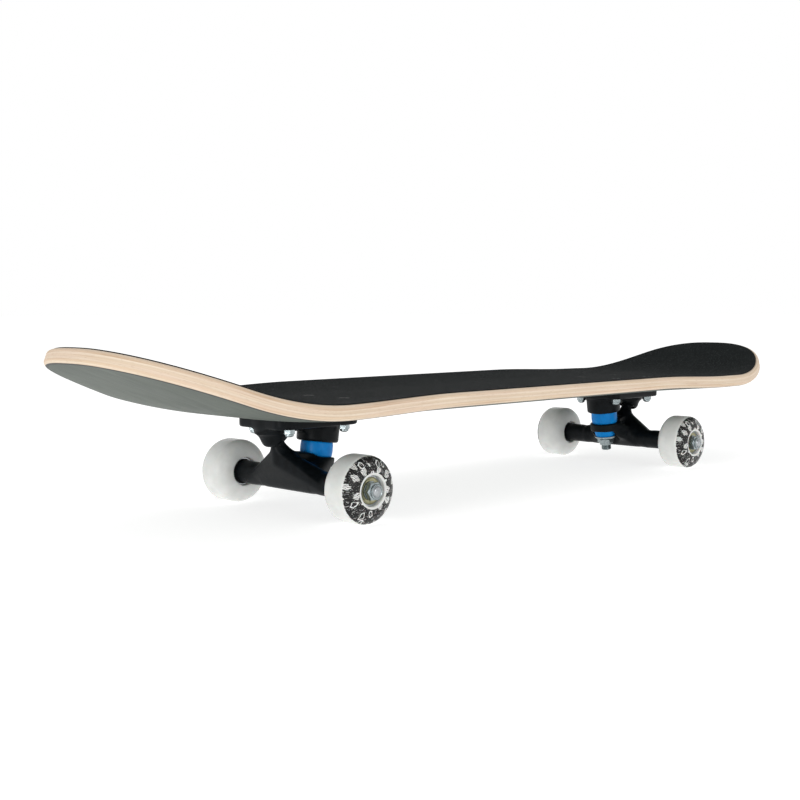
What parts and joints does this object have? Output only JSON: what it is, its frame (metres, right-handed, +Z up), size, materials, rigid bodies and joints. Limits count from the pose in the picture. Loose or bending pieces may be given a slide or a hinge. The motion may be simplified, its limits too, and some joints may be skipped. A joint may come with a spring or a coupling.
{
  "type": "skateboard",
  "caption": "Complete double-kick skateboard: curved plywood deck with grip tape, steering trucks on blue bushings and white hard wheels on ball bearings.",
  "frame": {"origin": "on the ground, halfway between the two axles, on the board's centreline", "axes": "+X towards the nose (front) along the board, +Y to the rider's left, +Z up"},
  "size_m": [0.802, 0.203, 0.13],
  "materials": {
    "maple": "clear-coated maple plies, painted grey-green underneath",
    "grip": "coarse black grit",
    "truck_black": "satin black painted casting",
    "cup_black": "moulded black plastic",
    "zinc": "bright zinc plate",
    "steel": "plain turned steel",
    "black_steel": "black oxide",
    "bearing_steel": "polished ring with a greased shield",
    "blue_urethane": "glossy blue polyurethane",
    "white_urethane": "white polyurethane, printed on the outer side"
  },
  "bodies": {
    "board": {"deck": "maple", "grip_tape": "grip", "front_baseplate": "truck_black", "front_pivot_cup": "cup_black", "front_kingpin": "zinc", "front_board_side_washer": "zinc", "front_board_side_bushing": "blue_urethane", "front_road_side_bushing": "blue_urethane", "front_road_side_washer": "zinc", "front_kingpin_nut": "zinc", "front_truck_bolt_1": "black_steel", "front_truck_nut_1": "zinc", "front_truck_bolt_2": "black_steel", "front_truck_nut_2": "zinc", "front_truck_bolt_3": "black_steel", "front_truck_nut_3": "zinc", "front_truck_bolt_4": "black_steel", "front_truck_nut_4": "zinc", "rear_baseplate": "truck_black", "rear_pivot_cup": "cup_black", "rear_kingpin": "zinc", "rear_board_side_washer": "zinc", "rear_board_side_bushing": "blue_urethane", "rear_road_side_bushing": "blue_urethane", "rear_road_side_washer": "zinc", "rear_kingpin_nut": "zinc", "rear_truck_bolt_1": "black_steel", "rear_truck_nut_1": "zinc", "rear_truck_bolt_2": "black_steel", "rear_truck_nut_2": "zinc", "rear_truck_bolt_3": "black_steel", "rear_truck_nut_3": "zinc", "rear_truck_bolt_4": "black_steel", "rear_truck_nut_4": "zinc"},
    "front_hanger_body": {"front_hanger": "truck_black", "front_axle": "steel", "front_left_axle_nut": "zinc", "front_left_bearing_core": "steel", "front_right_axle_nut": "zinc", "front_right_bearing_core": "steel"},
    "front_left_wheel_body": {"front_left_wheel": "white_urethane", "front_left_inner_bearing": "bearing_steel", "front_left_outer_bearing": "bearing_steel"},
    "front_right_wheel_body": {"front_right_wheel": "white_urethane", "front_right_inner_bearing": "bearing_steel", "front_right_outer_bearing": "bearing_steel"},
    "rear_hanger_body": {"rear_hanger": "truck_black", "rear_axle": "steel", "rear_left_axle_nut": "zinc", "rear_left_bearing_core": "steel", "rear_right_axle_nut": "zinc", "rear_right_bearing_core": "steel"},
    "rear_left_wheel_body": {"rear_left_wheel": "white_urethane", "rear_left_inner_bearing": "bearing_steel", "rear_left_outer_bearing": "bearing_steel"},
    "rear_right_wheel_body": {"rear_right_wheel": "white_urethane", "rear_right_inner_bearing": "bearing_steel", "rear_right_outer_bearing": "bearing_steel"}
  },
  "joints": [
    {"name": "front_steer", "type": "hinge", "parent": "board", "child": "front_hanger_body", "pos_m": [0.2305, 0, 0.059], "axis": [0.8744, 0, 0.4853], "range_deg": [-12, 12], "stiffness_Nm_per_rad": 40, "deforming": ["front_board_side_bushing", "front_road_side_bushing"]},
    {"name": "front_left_wheel_spin", "type": "hinge", "parent": "front_hanger_body", "child": "front_left_wheel_body", "pos_m": [0.213, 0.0737, 0.025], "axis": [0, 1, 0], "continuous": true},
    {"name": "front_right_wheel_spin", "type": "hinge", "parent": "front_hanger_body", "child": "front_right_wheel_body", "pos_m": [0.213, -0.0737, 0.025], "axis": [0, 1, 0], "continuous": true},
    {"name": "rear_steer", "type": "hinge", "parent": "board", "child": "rear_hanger_body", "pos_m": [-0.2305, 0, 0.059], "axis": [0.8744, 0, -0.4853], "range_deg": [-12, 12], "stiffness_Nm_per_rad": 40, "deforming": ["rear_board_side_bushing", "rear_road_side_bushing"]},
    {"name": "rear_left_wheel_spin", "type": "hinge", "parent": "rear_hanger_body", "child": "rear_left_wheel_body", "pos_m": [-0.213, 0.0737, 0.025], "axis": [0, 1, 0], "continuous": true},
    {"name": "rear_right_wheel_spin", "type": "hinge", "parent": "rear_hanger_body", "child": "rear_right_wheel_body", "pos_m": [-0.213, -0.0737, 0.025], "axis": [0, 1, 0], "continuous": true}
  ]
}
